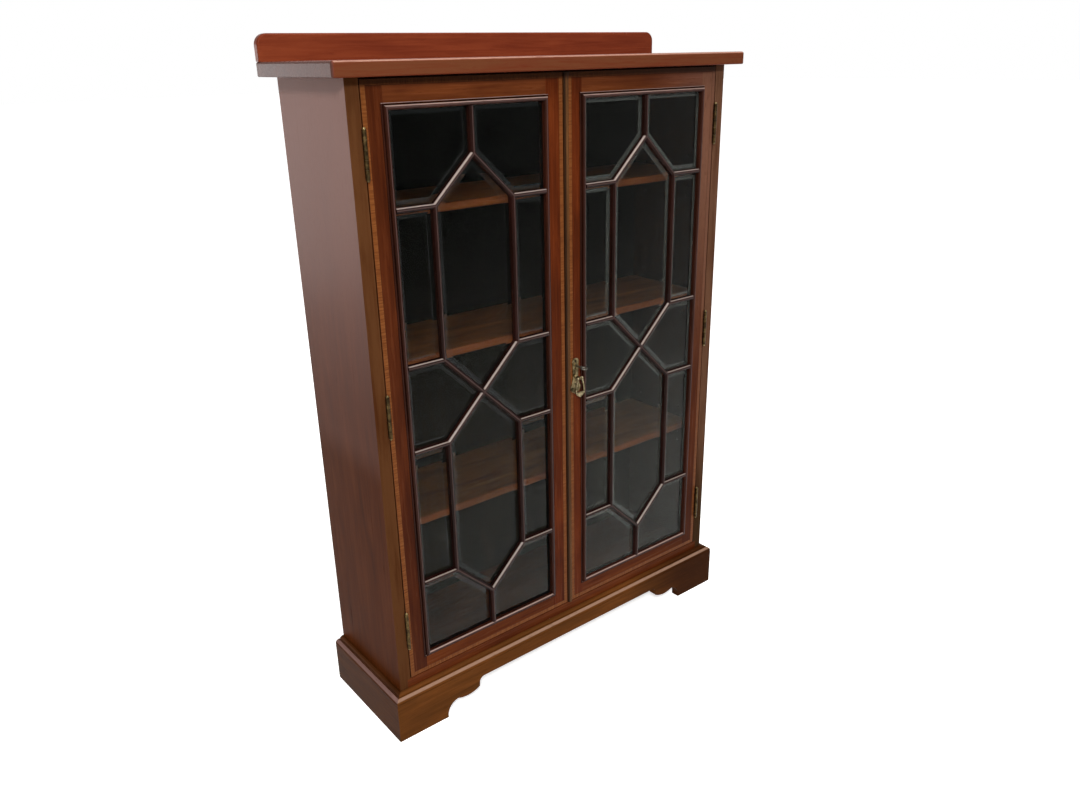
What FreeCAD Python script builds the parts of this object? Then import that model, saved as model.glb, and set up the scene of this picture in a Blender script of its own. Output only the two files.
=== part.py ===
import FreeCAD, Part
import math
import os

V = FreeCAD.Vector

# Glazed two-door bookcase. X runs along the front, Y from front to back and Z up.
# The origin is on the floor under the middle of the whole depth, which runs from the key's bow
# to the back of the top board. All sizes are millimetres.

# Case
case_width = 1000.0
case_depth = 280.0
case_height = 1427.0
side_thick = 28.0
bottom_low = 116.0
bottom_thick = 22.0
housing_depth = 8.0
rail_thick = 22.0
rail_width = 60.0
rebate = 12.0
back_thick = 12.0
back_count = 8
tongue_long = 5.0
tongue_thick = 4.0
tongue_gap = 0.4

# Top and gallery
top_thick = 28.0
top_over_side = 35.0
top_over_front = 31.0
top_over_back = 10.0
top_corner = 6.0
top_arris = 5.0
top_lower_arris = 3.0
gallery_height = 51.0
gallery_thick = 16.0
gallery_corner = 22.0
gallery_arris = 4.0

# Plinth
plinth_high = 96.0
plinth_thick = 23.0
foot_width = 131.0
arch_high = 67.0
block_size = 22.0

# Shelves, top face of each, and their pegs
shelf_tops = {"shelf_upper": 1184.0, "shelf_middle": 877.0, "shelf_lower": 507.0}
shelf_thick = 17.0
shelf_setback = 40.0
shelf_gap = 0.5
shelf_nosing = 4.0
peg_radius = 3.0
peg_length = 24.0
peg_inset = 40.0

# Doors
door_thick = 22.0
door_side_gap = 2.0
door_low_gap = 2.0
door_top_gap = 4.0
meeting_x = -2.0
meeting_gap = 2.0
face_width = 38.0
top_face_width = 41.0
opening_inner_x = 43.0
tenon_long = 28.0
tenon_thick = 7.0
band_width = 11.0
band_thick = 1.0
moulding_width = 13.0
moulding_seat = 6.0
moulding_bead = 4.0
moulding_nose = 4.3
moulding_nose_out = 4.5
glass_set = 3.0
glass_thick = 5.0
glass_gap = 0.5
bevel_width = 15.5
bevel_depth = 2.0
back_bead = 8.0
bead_width = 12.0
stop_gap = 1.0
stop_wide = 12.0
stop_high = 10.0

# Glazing bars, measured inwards from the visible edges of the glass, and the waist from its middle
side_in = 86.5
shoulder_in = 181.0
apex_in = 89.0
waist_z = 93.5
bar_half = 6.3
bar_nose = 5.5
bar_nose_out = 3.8
web_thick = 3.5
web_deep = 11.0

# Butt hinges
hinge_length = 89.0
hinge_offset = 513.0
hinge_leaf = 2.0
hinge_leaf_wide = 18.0
knuckle_radius = 3.9
knuckle_out = 5.0
knuckle_count = 5
knuckle_slack = 0.4
pin_radius = 2.0
pin_fit = 0.06
pin_tip = 3.0

# Handle, lock and key on the right door
plate_x = 27.0
plate_low = 707.0
plate_high = 797.0
plate_thick = 2.0
handle_z = 751.5
handle_out = 18.0
post_radius = 4.2
post_neck = 2.8
swivel_radius = 1.2
swivel_fit = 0.06
drop_thick = 3.6
drop_long = 47.5
drop_half = 14.0
drop_arm = 2.8
drop_ball = 3.0
foot_high = 13.5
drop_soft = 1.1
key_z = 779.0
stem_radius = 2.6
stem_out = 22.0
bow_radius = 9.0
bow_hole = 5.4
bow_thick = 2.6
bow_lap = 2.0
bit_radius = 8.0
keyhole_radius = 3.4
lock_width = 38.0
lock_low = 757.0
lock_high = 800.0
lock_deep = 11.0
lock_wall = 1.5
bolt_low = 784.0
bolt_high = 794.0
bolt_thick = 4.0
bolt_long = 29.0
bolt_throw = 8.5
fit = 0.3

# Slip bolts inside the left door
slip_radius = 3.0
slip_x = -25.0
slip_out = 9.0
slip_plate = 2.0
slip_plate_wide = 18.0
slip_length = 82.0
slip_throw = 10.0

key_reach = plate_thick + stem_out + 2.0 * bow_radius - bow_lap
front = (key_reach - case_depth - top_over_back) / 2.0
back = front + case_depth
half = case_width / 2.0
inner = half - side_thick
bottom_top = bottom_low + bottom_thick
door_low = bottom_top + door_low_gap
door_high = case_height - door_top_gap
door_mid = (door_low + door_high) / 2.0
door_back = front + door_thick
hinge_x = inner - door_side_gap / 2.0
hinge_y = front - knuckle_out
opening_low = door_low + face_width
opening_high = door_high - top_face_width
opening_outer_x = inner - door_side_gap - face_width
timber_step = moulding_seat
sight_half_x = (opening_outer_x - opening_inner_x) / 2.0 - moulding_width
sight_half_z = (opening_high - opening_low) / 2.0 - moulding_width
opening_mid = (opening_outer_x + opening_inner_x) / 2.0
bar_x = sight_half_x - side_in
shoulder_z = sight_half_z - shoulder_in
apex_z = sight_half_z - apex_in
beyond = case_height + case_width
glass_front = front + glass_set
glass_back = glass_front + glass_thick


def box(x0, x1, y0, y1, z0, z1):
    return Part.makeBox(x1 - x0, y1 - y0, z1 - z0, V(x0, y0, z0))


def rod(radius, start, direction, length):
    return Part.makeCylinder(radius, length, start, direction)


def flat(points):
    return Part.Face(Part.makePolygon(points + [points[0]]))


def plan_prism(points, z0, z1):
    return flat([V(x, y, z0) for x, y in points]).extrude(V(0, 0, z1 - z0))


def front_prism(points, y0, y1):
    return flat([V(x, y0, z) for x, z in points]).extrude(V(0, y1 - y0, 0))


def arc(a, m, b):
    return Part.Arc(a, m, b).toShape()


def edge(a, b):
    return Part.makeLine(a, b)


def outline(steps, place):
    # Each step is one corner, or a pair (point on the arc, its end), placed in space by place.
    edges = []
    at = place(*steps[0])
    start = at
    for step in steps[1:]:
        if isinstance(step[0], tuple):
            middle = place(*step[0])
            end = place(*step[1])
            edges.append(arc(at, middle, end))
        else:
            end = place(*step)
            edges.append(edge(at, end))
        at = end
    if at.distanceToPoint(start) > 1e-6:
        edges.append(edge(at, start))
    return Part.Face(Part.Wire(edges))


def mirrored(shape):
    return shape.mirror(V(0, 0, 0), V(1, 0, 0))


def rounded(shape, radius, wanted):
    return shape.makeFillet(radius, [e for e in shape.Edges if wanted(e)])


def fused(shapes):
    return shapes[0].multiFuse(shapes[1:]).removeSplitter()


nodes = {}

# Side boards run from the floor to the top and are rebated at the back for the boards there.
side = box(-half, -inner, front, back, 0, case_height)
side = side.cut(box(-inner - rebate, -inner, back - back_thick, back, bottom_low, case_height))
side = side.cut(box(-inner - housing_depth, -inner, front, back - back_thick, bottom_low, bottom_top))
rail_low = case_height - rail_thick
front_rail_y = door_back + stop_gap
back_rail_y = back - back_thick - rail_width
for rail_y in (front_rail_y, back_rail_y):
    housing = box(-inner - housing_depth, -inner, rail_y, rail_y + rail_width, rail_low, case_height)
    side = side.cut(housing)

# Peg holes: two columns on each side, the pegs in use with two spare holes above and below.
shelf_front = front + shelf_setback
shelf_back = back - back_thick - 1.0
peg_columns = [shelf_front + peg_inset, shelf_back - peg_inset]
peg_shape = []
for top_z in shelf_tops.values():
    peg_z = top_z - shelf_thick - peg_radius
    for peg_y in peg_columns:
        for step in (-50.0, -25.0, 0.0, 25.0, 50.0):
            start = V(-inner - peg_length / 2.0, peg_y, peg_z + step)
            side = side.cut(rod(peg_radius, start, V(1, 0, 0), peg_length))
        peg_shape.append(rod(peg_radius, V(-inner - peg_length / 2.0, peg_y, peg_z), V(1, 0, 0), peg_length))
pegs = peg_shape + [mirrored(p) for p in peg_shape]

# Hinge leaves are let into the front of each side board.
hinge_mids = [door_mid + hinge_offset, door_mid, door_mid - hinge_offset]
for mid in hinge_mids:
    z0 = mid - hinge_length / 2.0
    side = side.cut(box(-inner - hinge_leaf, -inner, front, front + hinge_leaf_wide, z0, z0 + hinge_length))
nodes["side_board_left"] = side
nodes["side_board_right"] = mirrored(side)

# Bottom board and the two rails that tie the sides together under the top.
bottom_reach = inner + housing_depth
bottom_board = box(-bottom_reach, bottom_reach, front, back - back_thick, bottom_low, bottom_top)
slip_y = door_back + slip_out
slip_hole = slip_radius + fit
lower_hole = rod(slip_hole, V(slip_x, slip_y, bottom_top - slip_throw - 2.0), V(0, 0, 1), slip_throw + 2.0)
nodes["bottom_board"] = bottom_board.cut(lower_hole)
top_rail = box(-bottom_reach, bottom_reach, front_rail_y, front_rail_y + rail_width, rail_low, case_height)
upper_hole = rod(slip_hole, V(slip_x, slip_y, rail_low), V(0, 0, 1), slip_throw + 2.0)
nodes["top_rail_front"] = top_rail.cut(upper_hole)
nodes["top_rail_back"] = box(-bottom_reach, bottom_reach, back_rail_y, back_rail_y + rail_width, rail_low,
                             case_height)

# Tongued and grooved boards close the back.
board_wide = 2.0 * (inner + rebate) / back_count
boards = []
for i in range(back_count):
    x0 = -(inner + rebate) + i * board_wide
    board = box(x0, x0 + board_wide, back - back_thick, back, bottom_low, case_height)
    mid_y = back - back_thick / 2.0
    if i < back_count - 1:
        tongue = box(x0 + board_wide, x0 + board_wide + tongue_long - tongue_gap, mid_y - tongue_thick / 2.0,
                     mid_y + tongue_thick / 2.0, bottom_low, case_height)
        board = board.fuse(tongue).removeSplitter()
    if i > 0:
        half_groove = tongue_thick / 2.0 + 0.05
        board = board.cut(box(x0, x0 + tongue_long, mid_y - half_groove, mid_y + half_groove, bottom_low,
                              case_height))
    boards.append(board)
nodes["back_boards"] = Part.makeCompound(boards)

# Shelves with a rounded nosing, on their pegs.
for name, top_z in shelf_tops.items():
    reach = inner - shelf_gap
    shelf = box(-reach, reach, shelf_front, shelf_back, top_z - shelf_thick, top_z)
    shelf = rounded(shelf, shelf_nosing,
                    lambda e: e.BoundBox.YMax < shelf_front + 0.01 and e.BoundBox.XLength > reach)
    nodes[name] = shelf
nodes["shelf_pegs"] = Part.makeCompound(pegs)

# Top board with softened arrises, and the upstand that stands along its back edge.
top_x = half + top_over_side
top_y0 = front - top_over_front
top_y1 = back + top_over_back
top_z1 = case_height + top_thick
top = box(-top_x, top_x, top_y0, top_y1, case_height, top_z1)
top = rounded(top, top_corner, lambda e: e.BoundBox.ZLength > 20 and e.BoundBox.YMax < front)
top = rounded(top, top_arris, lambda e: e.BoundBox.ZMin > top_z1 - 0.01 and e.BoundBox.YMin < top_y1 - 1)
top = rounded(top, top_lower_arris,
              lambda e: e.BoundBox.ZMax < case_height + 0.01 and e.BoundBox.YMin < top_y1 - 1)
nodes["top_board"] = top
gallery = box(-top_x, top_x, top_y1 - gallery_thick, top_y1, top_z1, top_z1 + gallery_height)
gallery_top = top_z1 + gallery_height
gallery = rounded(gallery, gallery_corner,
                  lambda e: e.BoundBox.YLength > 10 and e.BoundBox.ZMin > gallery_top - 0.01
                  and e.BoundBox.XLength < 0.01)
gallery = rounded(gallery, gallery_arris,
                  lambda e: e.BoundBox.YMax < top_y1 - gallery_thick + 0.01
                  and e.BoundBox.ZMax > top_z1 + 1)
nodes["gallery"] = gallery

# Plinth boards are planted round the case and mitred at the front corners. The front board
# is cut away between two bracket feet, each with a step, a drooping lobe and a hollow.
px = half + plinth_thick
py = front - plinth_thick


def mitred_front(reach):
    return [(-half - reach, front - reach), (half + reach, front - reach), (half, front), (-half, front)]


def mitred_side(reach):
    return [(-half - reach, front - reach), (-half, front), (-half, back), (-half - reach, back)]


plinth_front = plan_prism(mitred_front(plinth_thick), 0, plinth_high)
foot_x = px - foot_width
arch_steps = [
    (-foot_x, -1.0), (-foot_x, 3.0),
    ((-foot_x + 6.0, 26.0), (-foot_x + 29.0, 40.0)),
    ((-foot_x + 60.0, 34.0), (-foot_x + 92.0, 43.0)),
    (-foot_x + 93.0, 52.0),
    ((-foot_x + 96.5, 62.5), (-foot_x + 107.0, arch_high)),
    (foot_x - 107.0, arch_high),
    ((foot_x - 96.5, 62.5), (foot_x - 93.0, 52.0)),
    (foot_x - 92.0, 43.0),
    ((foot_x - 60.0, 34.0), (foot_x - 29.0, 40.0)),
    ((foot_x - 6.0, 26.0), (foot_x, 3.0)),
    (foot_x, -1.0),
]
arch = outline(arch_steps, lambda x, z: V(x, py - 1.0, z)).extrude(V(0, plinth_thick + 2.0, 0))
nodes["plinth_front"] = plinth_front.cut(arch)
plinth_left = plan_prism(mitred_side(plinth_thick), 0, plinth_high)
nodes["plinth_left"] = plinth_left
nodes["plinth_right"] = mirrored(plinth_left)

# The plinth moulding: an ovolo over the plinth face, a quirk and a low bead against the case.
moulding_steps = [
    (0.0, plinth_high), (plinth_thick, plinth_high), (plinth_thick, 100.5),
    (plinth_thick - 2.0, 100.5), (plinth_thick - 2.0, 102.0), (plinth_thick, 102.0), (plinth_thick, 103.5),
    ((19.5, 109.2), (12.0, 111.5)),
    (12.0, 110.0), (10.5, 110.0), (10.5, 111.5),
    ((6.5, 115.6), (0.0, bottom_low)),
]
run = 2.0 * px + 20.0
front_run = outline(moulding_steps, lambda d, z: V(-run / 2.0, front - d, z)).extrude(V(run, 0, 0))
front_bound = plan_prism(mitred_front(plinth_thick), plinth_high - 1, bottom_low + 1)
nodes["plinth_moulding_front"] = front_run.common(front_bound)
side_run = outline(moulding_steps, lambda d, z: V(-half - d, back, z)).extrude(V(0, py - 10.0 - back, 0))
side_bound = plan_prism(mitred_side(plinth_thick), plinth_high - 1, bottom_low + 1)
left_moulding = side_run.common(side_bound)
nodes["plinth_moulding_left"] = left_moulding
nodes["plinth_moulding_right"] = mirrored(left_moulding)

# Glue blocks stand behind the feet and hold the front plinth to the bottom board.
post = box(-inner, -inner + block_size, front, front + block_size, 0, bottom_low)
glue_blocks = [post, mirrored(post)]
for share in (-0.7, -0.23, 0.23, 0.7):
    block_x = share * inner
    corner = [(front, bottom_low), (front + block_size, bottom_low), (front, bottom_low - block_size)]
    face = flat([V(block_x - 35.0, y, z) for y, z in corner])
    glue_blocks.append(face.extrude(V(70.0, 0, 0)))
nodes["glue_blocks"] = Part.makeCompound(glue_blocks)
stops = []
for share in (-0.5, 0.5):
    stop_x = share * inner
    stops.append(box(stop_x - 35.0, stop_x + 35.0, front_rail_y, front_rail_y + stop_wide, bottom_top,
                     bottom_top + stop_high))
nodes["door_stops"] = Part.makeCompound(stops)


def ring_strips(x0, x1, z0, z1, wide, y0, y1):
    # Four strips mitred at the corners of a rectangle, laid inwards from its edge.
    outer = [(x0, z0), (x1, z0), (x1, z1), (x0, z1)]
    inside = [(x0 + wide, z0 + wide), (x1 - wide, z0 + wide), (x1 - wide, z1 - wide), (x0 + wide, z1 - wide)]
    strips = []
    for i in range(4):
        j = (i + 1) % 4
        strips.append(front_prism([outer[i], outer[j], inside[j], inside[i]], y0, y1))
    return strips


def ring_moulding(x0, x1, z0, z1, steps):
    # A profile (inward, forward) swept along each side of a rectangle and mitred at the corners.
    wide = max(s[1][0] if isinstance(s[0], tuple) else s[0] for s in steps)
    bounds = ring_strips(x0, x1, z0, z1, wide, front - 20.0, front + 20.0)
    runs = [
        outline(steps, lambda u, o: V(x0, front - o, z0 + u)).extrude(V(x1 - x0, 0, 0)),
        outline(steps, lambda u, o: V(x1 - u, front - o, z0)).extrude(V(0, 0, z1 - z0)),
        outline(steps, lambda u, o: V(x0, front - o, z1 - u)).extrude(V(x1 - x0, 0, 0)),
        outline(steps, lambda u, o: V(x0 + u, front - o, z0)).extrude(V(0, 0, z1 - z0)),
    ]
    return [r.common(b) for r, b in zip(runs, bounds)]


# A small bead, a quirk and a tall round nosing frame the glass.
nose_low = moulding_width - 2.0 * moulding_nose
nose_mid = moulding_width - moulding_nose
glass_moulding_steps = [
    (0.0, -glass_set), (0.0, 0.8),
    ((moulding_bead / 2.0, 2.8), (moulding_bead, 0.8)),
    (nose_low, 0.8), (nose_low, moulding_nose_out),
    ((nose_mid, moulding_nose_out + moulding_nose), (moulding_width, moulding_nose_out)),
    (moulding_width, -glass_set),
]


def door_frame(x_hinge, x_meet, band_from):
    # x_hinge is the hinge edge, x_meet the meeting edge and band_from where the banding starts.
    way = 1.0 if x_hinge < x_meet else -1.0
    open_hinge = x_hinge + way * face_width
    open_meet = way * -opening_inner_x
    timber_hinge = open_hinge + way * timber_step
    timber_meet = open_meet - way * timber_step
    timber_low = opening_low + timber_step
    timber_high = opening_high - timber_step
    low_x, high_x = sorted((timber_hinge, timber_meet))
    seat = box(min(open_hinge, open_meet), max(open_hinge, open_meet), front, glass_front, opening_low,
               opening_high)
    band = ring_strips(min(x_hinge, band_from), max(x_hinge, band_from), door_low, door_high, band_width,
                       front, front + band_thick)
    groove = Part.makeCompound(band)
    tenon_y = front + 8.0
    stiles = []
    for edge_x, timber_x in ((x_hinge, timber_hinge), (x_meet, timber_meet)):
        a, b = sorted((edge_x, timber_x))
        stile = box(a, b, front, door_back, door_low, door_high).cut(seat).cut(groove)
        stiles.append(stile)
    rails = []
    for z0, z1 in ((timber_high, door_high), (door_low, timber_low)):
        body = box(low_x, high_x, front, door_back, z0, z1).cut(seat).cut(groove)
        tenon = box(low_x - tenon_long, high_x + tenon_long, tenon_y, tenon_y + tenon_thick, z0 + 10.0,
                    z1 - 10.0)
        rails.append(body.fuse(tenon).removeSplitter())
        stiles = [s.cut(tenon) for s in stiles]
    moulding = ring_moulding(min(open_hinge, open_meet), max(open_hinge, open_meet), opening_low,
                             opening_high, glass_moulding_steps)
    beads = ring_strips(low_x, high_x, timber_low, timber_high, back_bead, glass_back,
                        glass_back + back_bead)
    return stiles, rails, band, moulding, beads


left_edge = -inner + door_side_gap
left_meet = meeting_x - meeting_gap / 2.0
right_meet = meeting_x + meeting_gap / 2.0
left_parts = door_frame(left_edge, left_meet, left_meet)
right_parts = door_frame(-left_edge, right_meet, right_meet + bead_width)

# Glazing bars: nodes of the lattice, and which of them each bar joins.
reach_x = sight_half_x
reach_z = sight_half_z
spots = {"crossing": (0.0, 0.0)}
for up, tall in (("high", 1.0), ("low", -1.0)):
    spots[up + "_end"] = (0.0, tall * (reach_z + 30.0))
    spots[up + "_apex"] = (0.0, tall * apex_z)
    for hand, wide in (("left", -1.0), ("right", 1.0)):
        spots[up + "_shoulder_" + hand] = (wide * bar_x, tall * shoulder_z)
        spots[up + "_waist_" + hand] = (wide * bar_x, tall * waist_z)
        spots[up + "_shoulder_end_" + hand] = (wide * (reach_x + 30.0), tall * shoulder_z)
        spots[up + "_waist_end_" + hand] = (wide * (reach_x + 30.0), tall * waist_z)
bars = []
for up in ("high", "low"):
    bars.append((up + "_end", up + "_apex"))
    for hand in ("left", "right"):
        bars.append((up + "_apex", up + "_shoulder_" + hand))
        bars.append((up + "_shoulder_" + hand, up + "_shoulder_end_" + hand))
        bars.append((up + "_shoulder_" + hand, up + "_waist_" + hand))
        bars.append((up + "_waist_" + hand, up + "_waist_end_" + hand))
        bars.append((up + "_waist_" + hand, "crossing"))

cap_steps = [
    (-bar_half, -glass_set), (-bar_half, 1.2), (-bar_nose, 1.2), (-bar_nose, bar_nose_out),
    ((0.0, bar_nose_out + bar_nose), (bar_nose, bar_nose_out)),
    (bar_nose, 1.2), (bar_half, 1.2), (bar_half, -glass_set),
]
web_steps = [(-web_thick / 2.0, -glass_set), (-web_thick / 2.0, -glass_set - web_deep),
             (web_thick / 2.0, -glass_set - web_deep), (web_thick / 2.0, -glass_set)]


def bearing(a, b):
    return math.atan2(spots[b][1] - spots[a][1], spots[b][0] - spots[a][0])


def wedge(spot, towards):
    # The part of the plane nearer to this bar than to its neighbours at the joint.
    others = [b for a, b in bars if a == spot] + [a for a, b in bars if b == spot]
    if len(others) < 2:
        return None
    here = bearing(spot, towards)
    turns = [(bearing(spot, o) - here) % (2.0 * math.pi) for o in others if o != towards]
    upper = min(turns) / 2.0
    lower = (2.0 * math.pi - max(turns)) / 2.0
    cx, cz = spots[spot]
    corners = [(cx, cz)]
    count = 6
    for i in range(count + 1):
        angle = here - lower + (upper + lower) * i / count
        corners.append((cx + beyond * math.cos(angle), cz + beyond * math.sin(angle)))
    return front_prism(corners, front - 20.0, front + 30.0)


def bar_solid(a, b, steps, limit):
    ax, az = spots[a]
    bx, bz = spots[b]
    length = math.hypot(bx - ax, bz - az)
    dx, dz = (bx - ax) / length, (bz - az) / length
    sx, sz = ax - dx * 15.0, az - dz * 15.0
    section = outline(steps, lambda u, o: V(sx - dz * u, front - o, sz + dx * u))
    solid = section.extrude(V(dx * (length + 30.0), 0, dz * (length + 30.0)))
    for spot, towards in ((a, b), (b, a)):
        limits = wedge(spot, towards)
        if limits is not None:
            solid = solid.common(limits)
    return solid.common(limit)


sight = box(-reach_x, reach_x, front - 20.0, front + 30.0, -reach_z, reach_z)
web_reach = moulding_width - timber_step
timber = box(-reach_x - web_reach, reach_x + web_reach, front - 20.0, front + 30.0, -reach_z - web_reach,
             reach_z + web_reach)
bar_solids = []
for a, b in bars:
    cap = bar_solid(a, b, cap_steps, sight)
    web = bar_solid(a, b, web_steps, timber)
    bar_solids.append(cap.fuse(web).removeSplitter())


def inset(points, amounts):
    # Move each side of a convex polygon inwards by its own amount and meet them again.
    count = len(points)
    area = sum(points[i][0] * points[(i + 1) % count][1] - points[(i + 1) % count][0] * points[i][1]
               for i in range(count))
    turn = 1.0 if area > 0 else -1.0
    lines = []
    for i in range(count):
        (x0, z0), (x1, z1) = points[i], points[(i + 1) % count]
        length = math.hypot(x1 - x0, z1 - z0)
        nx, nz = -(z1 - z0) / length * turn, (x1 - x0) / length * turn
        lines.append((nx, nz, nx * x0 + nz * z0 + amounts[i]))
    corners = []
    for i in range(count):
        a1, b1, c1 = lines[i - 1]
        a2, b2, c2 = lines[i]
        det = a1 * b2 - a2 * b1
        corners.append(((c1 * b2 - c2 * b1) / det, (a1 * c2 - a2 * c1) / det))
    return corners


def pane(points):
    # A pane with a broad bevel worked all round its front face.
    edge_in = web_thick / 2.0 + glass_gap
    edge_out = -(web_reach - glass_gap)
    amounts = []
    count = len(points)
    for i in range(count):
        (x0, z0), (x1, z1) = points[i], points[(i + 1) % count]
        on_side = abs(x0 - x1) < 0.01 and abs(abs(x0) - reach_x) < 0.01
        on_end = abs(z0 - z1) < 0.01 and abs(abs(z0) - reach_z) < 0.01
        amounts.append(edge_out if on_side or on_end else edge_in)
    rim = inset(points, amounts)
    table = inset(rim, [bevel_width] * count)
    shoulder = glass_front + bevel_depth
    slab = front_prism(rim, shoulder, glass_back)
    rim_wire = Part.makePolygon([V(x, shoulder, z) for x, z in rim + rim[:1]])
    table_wire = Part.makePolygon([V(x, glass_front, z) for x, z in table + table[:1]])
    crown = Part.makeLoft([rim_wire, table_wire], True, True)
    return slab.fuse(crown).removeSplitter()


def flipped(points, wide, tall):
    return [(wide * x, tall * z) for x, z in points]


corner_pane = [(-reach_x, reach_z), (0.0, reach_z), (0.0, apex_z), (-bar_x, shoulder_z),
               (-reach_x, shoulder_z)]
side_pane = [(-reach_x, shoulder_z), (-bar_x, shoulder_z), (-bar_x, waist_z), (-reach_x, waist_z)]
waist_pane = [(-reach_x, waist_z), (-bar_x, waist_z), (0.0, 0.0), (-bar_x, -waist_z), (-reach_x, -waist_z)]
long_pane = [(0.0, apex_z), (bar_x, shoulder_z), (bar_x, waist_z), (0.0, 0.0), (-bar_x, waist_z),
             (-bar_x, shoulder_z)]
quarters = [(1, 1), (-1, 1), (1, -1), (-1, -1)]
panes = {
    "corner_panes": [pane(flipped(corner_pane, w, t)) for w, t in quarters],
    "side_panes": [pane(flipped(side_pane, w, t)) for w, t in quarters],
    "waist_panes": [pane(flipped(waist_pane, w, 1)) for w in (1, -1)],
    "long_panes": [pane(flipped(long_pane, 1, t)) for t in (1, -1)],
}


def placed(shapes, centre_x):
    moved = []
    for shape in shapes:
        copy = shape.copy()
        copy.translate(V(centre_x, 0, (opening_low + opening_high) / 2.0))
        moved.append(copy)
    return Part.makeCompound(moved)


for hand, way in (("left", -1.0), ("right", 1.0)):
    nodes[hand + "_glazing_bars"] = placed(bar_solids, way * opening_mid)
    for name, shapes in panes.items():
        nodes[hand + "_" + name] = placed(shapes, way * opening_mid)

# Butt hinges. The case leaf carries three knuckles and the pin, the door leaf the two between.
knuckle_long = hinge_length / knuckle_count


def hinge(mid):
    low = mid - hinge_length / 2.0
    case_leaf = [box(-inner - hinge_leaf, -inner, front - 0.2, front + hinge_leaf_wide, low,
                     low + hinge_length)]
    door_x = -inner + door_side_gap
    door_leaf = [box(door_x, door_x + hinge_leaf, front - 0.2, front + hinge_leaf_wide, low,
                     low + hinge_length)]
    for i in range(knuckle_count):
        z0 = low + i * knuckle_long + (knuckle_slack / 2.0 if i > 0 else 0.0)
        z1 = low + (i + 1) * knuckle_long - (knuckle_slack / 2.0 if i < knuckle_count - 1 else 0.0)
        barrel = rod(knuckle_radius, V(-hinge_x, hinge_y, z0), V(0, 0, 1), z1 - z0)
        leaf_x = -inner - hinge_leaf if i % 2 == 0 else door_x
        web = box(leaf_x, leaf_x + hinge_leaf, hinge_y, front, z0, z1)
        (case_leaf if i % 2 == 0 else door_leaf).append(barrel.fuse(web))
    bore = rod(pin_radius, V(-hinge_x, hinge_y, low - 1.0), V(0, 0, 1), hinge_length + 2.0)
    loose = rod(pin_radius + pin_fit, V(-hinge_x, hinge_y, low - 1.0), V(0, 0, 1), hinge_length + 2.0)
    pin = rod(pin_radius, V(-hinge_x, hinge_y, low), V(0, 0, 1), hinge_length)
    for tip_z in (low - 1.2, low + hinge_length + 1.2):
        ball = Part.makeSphere(pin_tip, V(-hinge_x, hinge_y, tip_z))
        pin = pin.fuse(ball)
    barrel_room = box(-hinge_x - 9, -hinge_x + 9, hinge_y - 9, hinge_y + 9, low, low + hinge_length)
    pin = pin.cut(barrel_room.cut(bore))
    return fused(case_leaf).cut(bore), fused(door_leaf).cut(loose), pin


hinges = [hinge(mid) for mid in hinge_mids]
for hand in ("left", "right"):
    sets = []
    for i in range(3):
        shapes = [h[i] for h in hinges]
        sets.append(Part.makeCompound(shapes if hand == "left" else [mirrored(s) for s in shapes]))
    nodes[hand + "_hinge_case_leaves"] = sets[0]
    nodes[hand + "_hinge_door_leaves"] = sets[1]
    nodes[hand + "_hinge_pins"] = sets[2]
door_leaf_seats = []
for mid in hinge_mids:
    z0 = mid - hinge_length / 2.0
    door_leaf_seats.append(box(left_edge, left_edge + hinge_leaf, front, front + hinge_leaf_wide, z0,
                               z0 + hinge_length))

# Lock on the right meeting stile: a hollow case let in from the back, its bolt and its key.
lock_x0 = right_meet
lock_x1 = right_meet + lock_width
lock_y0 = door_back - lock_deep
lock_case = box(lock_x0, lock_x1, lock_y0, door_back, lock_low, lock_high)
cavity = box(lock_x0 + lock_wall, lock_x1 - lock_wall, lock_y0 + lock_wall, door_back - lock_wall,
             lock_low + lock_wall, lock_high - lock_wall)
bolt_y0 = lock_y0 + lock_wall + fit
bolt_y1 = bolt_y0 + bolt_thick
bolt_slot = box(lock_x0 - 1.0, lock_x0 + lock_wall + 1.0, bolt_y0 - fit, bolt_y1 + fit, bolt_low - fit,
                bolt_high + fit)
keyway = rod(keyhole_radius, V(plate_x, front - 10.0, key_z), V(0, 1, 0), lock_y0 + lock_wall - front + 10.5)
ward_slot = box(plate_x - 1.6, plate_x + 1.6, front - 10.0, lock_y0 + lock_wall + 0.5, key_z - 9.5, key_z)
keyway = keyway.fuse(ward_slot)
nodes["lock_case"] = lock_case.cut(cavity).cut(bolt_slot).cut(keyway)
nodes["lock_bolt"] = box(lock_x0 + 0.2, lock_x0 + 0.2 + bolt_long, bolt_y0, bolt_y1, bolt_low, bolt_high)
bit_y0 = bolt_y1 + fit
stem_end = door_back - lock_wall - 0.8
stem = rod(stem_radius, V(plate_x, front - plate_thick - stem_out, key_z), V(0, 1, 0),
           stem_end - front + plate_thick + stem_out)
bit = box(plate_x - bit_radius, plate_x, bit_y0, stem_end, key_z - 1.2, key_z + 1.2)
bow_y = front - plate_thick - stem_out - bow_radius + bow_lap
bow = rod(bow_radius, V(plate_x, bow_y, key_z - bow_thick / 2.0), V(0, 0, 1), bow_thick)
bow = bow.cut(rod(bow_hole, V(plate_x, bow_y, key_z - bow_thick), V(0, 0, 1), 2.0 * bow_thick))
bow = bow.makeFillet(0.9, [e for e in bow.Edges if e.BoundBox.ZLength < 0.01])
collar = rod(stem_radius + 1.1, V(plate_x, front - plate_thick - stem_out + 0.5, key_z), V(0, 1, 0), 2.4)
stem = stem.cut(rod(bow_hole, V(plate_x, bow_y, key_z - bow_radius), V(0, 0, 1), 2.0 * bow_radius))
nodes["key"] = fused([stem, bit, bow, collar])

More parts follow.
